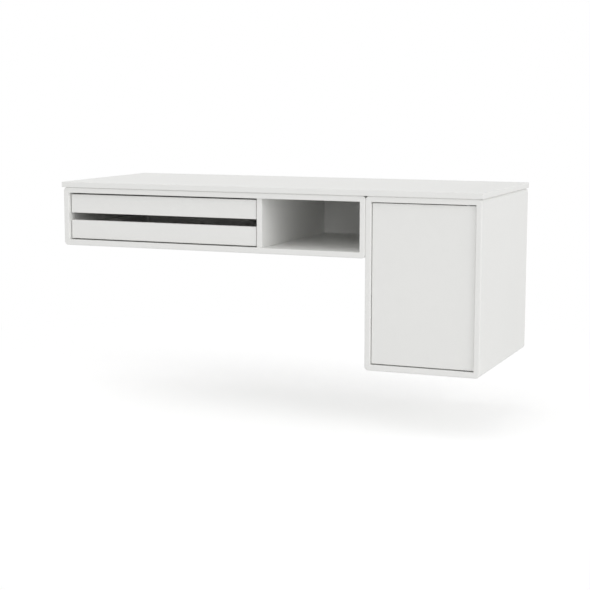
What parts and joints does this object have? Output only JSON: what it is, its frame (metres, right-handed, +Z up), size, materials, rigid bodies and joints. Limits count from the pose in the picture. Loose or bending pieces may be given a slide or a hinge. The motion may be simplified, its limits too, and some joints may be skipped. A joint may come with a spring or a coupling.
{
  "type": "floating wall desk",
  "caption": "Wall-hung white desk: a flat top over a slim module with drawers and an open shelf, and a deeper door cabinet hanging at its right end.",
  "frame": {"origin": "on the wall plane, in the middle of the screw line of the long module's wall rail", "axes": "+X to the right seen from the front, +Y into the wall, +Z up"},
  "size_m": [0.942, 0.383, 0.366],
  "materials": {
    "white_lacquer": "satin lacquer on fibreboard",
    "drawer_board": "matt lacquer on board",
    "beech": "plain turned or sawn wood",
    "zinc_steel": "zinc plated",
    "nickel": "nickel plated",
    "bright_steel": "ground steel",
    "cage_plastic": "moulded",
    "nylon": "moulded",
    "latch_plastic": "moulded"
  },
  "bodies": {
    "carcass": {"cabinet_back_panel": "white_lacquer", "cabinet_bottom_panel": "white_lacquer", "cabinet_hook_rail": "zinc_steel", "cabinet_left_panel": "white_lacquer", "cabinet_right_panel": "white_lacquer", "cabinet_top_panel": "white_lacquer", "cabinet_wall_rail": "zinc_steel", "channel_screws": "zinc_steel", "connector_screws": "nickel", "connector_sleeves": "nickel", "desk_top": "white_lacquer", "desk_top_screws": "zinc_steel", "divider": "white_lacquer", "divider_dowels": "beech", "hook_rail_screws": "zinc_steel", "latch_housing": "latch_plastic", "latch_screws": "zinc_steel", "latch_spring": "bright_steel", "long_back_panel": "white_lacquer", "long_bottom_panel": "white_lacquer", "long_hook_rail": "zinc_steel", "long_left_panel": "white_lacquer", "long_right_panel": "white_lacquer", "long_top_panel": "white_lacquer", "long_wall_rail": "zinc_steel", "lower_left_channel": "zinc_steel", "lower_right_channel": "zinc_steel", "mitre_splines": "beech", "pivot_bushes": "nylon", "pivot_washer": "nylon", "upper_left_channel": "zinc_steel", "upper_right_channel": "zinc_steel"},
    "upper_drawer": {"upper_drawer_back": "drawer_board", "upper_drawer_bottom": "drawer_board", "upper_drawer_dowels": "beech", "upper_drawer_front": "white_lacquer", "upper_drawer_left_side": "drawer_board", "upper_drawer_right_side": "drawer_board", "upper_left_rail": "zinc_steel", "upper_rail_screws": "zinc_steel", "upper_right_rail": "zinc_steel"},
    "lower_drawer": {"lower_drawer_back": "drawer_board", "lower_drawer_bottom": "drawer_board", "lower_drawer_dowels": "beech", "lower_drawer_front": "white_lacquer", "lower_drawer_left_side": "drawer_board", "lower_drawer_right_side": "drawer_board", "lower_left_rail": "zinc_steel", "lower_rail_screws": "zinc_steel", "lower_right_rail": "zinc_steel"},
    "upper_cages": {"upper_balls": "bright_steel", "upper_left_cage": "cage_plastic", "upper_right_cage": "cage_plastic"},
    "lower_cages": {"lower_balls": "bright_steel", "lower_left_cage": "cage_plastic", "lower_right_cage": "cage_plastic"},
    "door": {"door_panel": "white_lacquer", "door_pivot_pins": "bright_steel", "latch_strike_plate": "bright_steel"},
    "latch_plunger": {"latch_plunger": "latch_plastic"}
  },
  "joints": [
    {"name": "upper_drawer_slide", "type": "slide", "parent": "carcass", "child": "upper_drawer", "axis": [0, -1, 0], "range_m": [0, 0.21]},
    {"name": "upper_cage_slide", "type": "slide", "parent": "carcass", "child": "upper_cages", "axis": [0, -1, 0], "range_m": [0, 0.105]},
    {"name": "lower_drawer_slide", "type": "slide", "parent": "carcass", "child": "lower_drawer", "axis": [0, -1, 0], "range_m": [0, 0.21]},
    {"name": "lower_cage_slide", "type": "slide", "parent": "carcass", "child": "lower_cages", "axis": [0, -1, 0], "range_m": [0, 0.105]},
    {"name": "door_hinge", "type": "hinge", "parent": "carcass", "child": "door", "pos_m": [0.5568, -0.368, 0], "axis": [0, 0, 1], "range_deg": [0, 110]},
    {"name": "latch_press", "type": "slide", "parent": "carcass", "child": "latch_plunger", "axis": [0, 1, 0], "range_m": [0, 0.003], "stiffness_N_per_m": 400, "springref_m": -0.004, "deforming": ["latch_spring"]}
  ],
  "couplings": [
    {"joint": "upper_cage_slide", "follows": "upper_drawer_slide", "ratio": 0.5},
    {"joint": "lower_cage_slide", "follows": "lower_drawer_slide", "ratio": 0.5}
  ]
}
